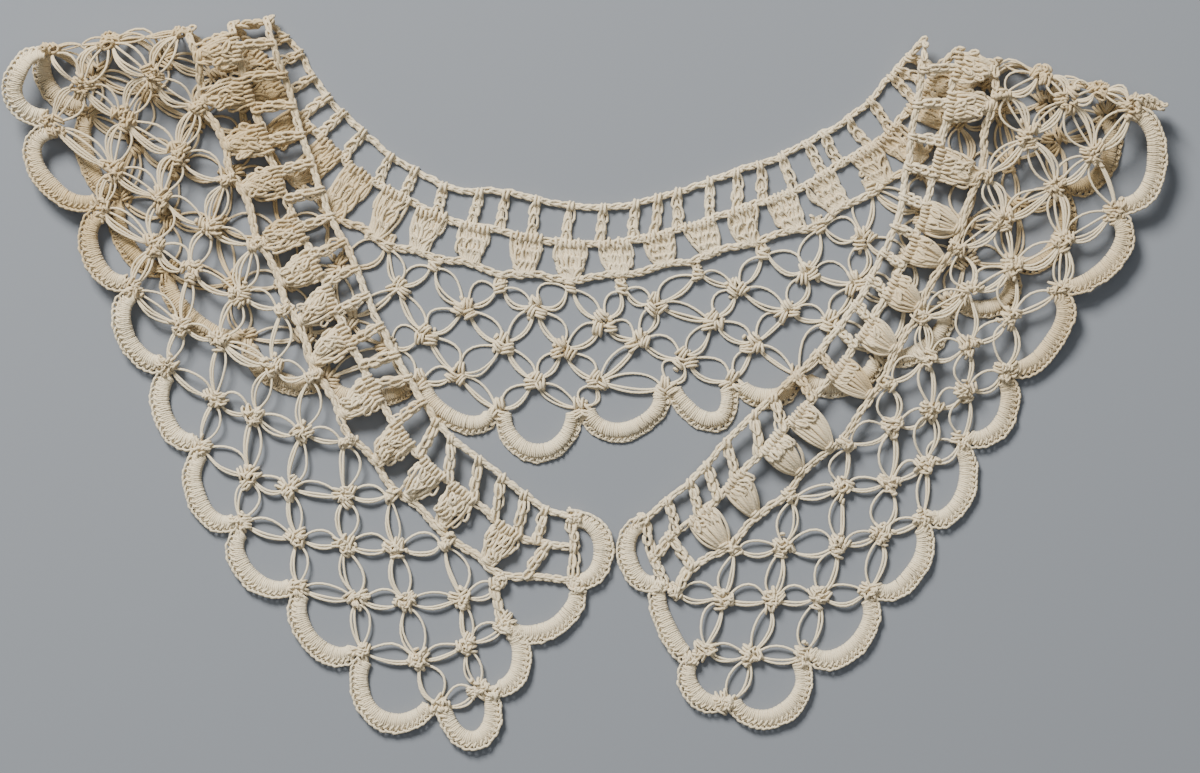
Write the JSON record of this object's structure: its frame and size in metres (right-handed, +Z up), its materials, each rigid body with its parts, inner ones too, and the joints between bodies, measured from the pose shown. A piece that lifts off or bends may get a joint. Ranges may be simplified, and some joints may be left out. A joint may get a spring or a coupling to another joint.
{
  "type": "crochet lace collar",
  "caption": "Crocheted cotton lace collar with a knotted net and a scalloped edging, lying flat with both fronts folded over the back.",
  "frame": {"origin": "bottom centre of the collar's bounding box, on the surface that it lies on", "axes": "+Z up off the surface, +X along the collar's width towards the right shoulder fold, +Y from the tips of the fronts towards the shoulder folds"},
  "size_m": [0.2489, 0.1574, 0.0081],
  "materials": {
    "chain_cotton": "cream crochet cotton, chain stitches",
    "bar_cotton": "cream crochet cotton, open bars",
    "fan_cotton": "cream crochet cotton, clusters, a little tanned with age",
    "net_cotton": "cream crochet cotton, smooth drawn loops and small knots",
    "edging_cotton": "cream crochet cotton, closely covered scallops"
  },
  "bodies": {
    "root": {"neck_chain_left_front": "chain_cotton", "neck_chain_back": "chain_cotton", "neck_chain_right_front": "chain_cotton", "bar_round_left_front": "bar_cotton", "bar_round_back": "bar_cotton", "bar_round_right_front": "bar_cotton", "fan_round_left_front": "fan_cotton", "fan_round_back": "fan_cotton", "fan_round_right_front": "fan_cotton", "knot_net_left_front": "net_cotton", "knot_net_back": "net_cotton", "knot_net_right_front": "net_cotton", "scallop_edging_left_front": "edging_cotton", "scallop_edging_back": "edging_cotton", "scallop_edging_right_front": "edging_cotton"}
  },
  "joints": []
}
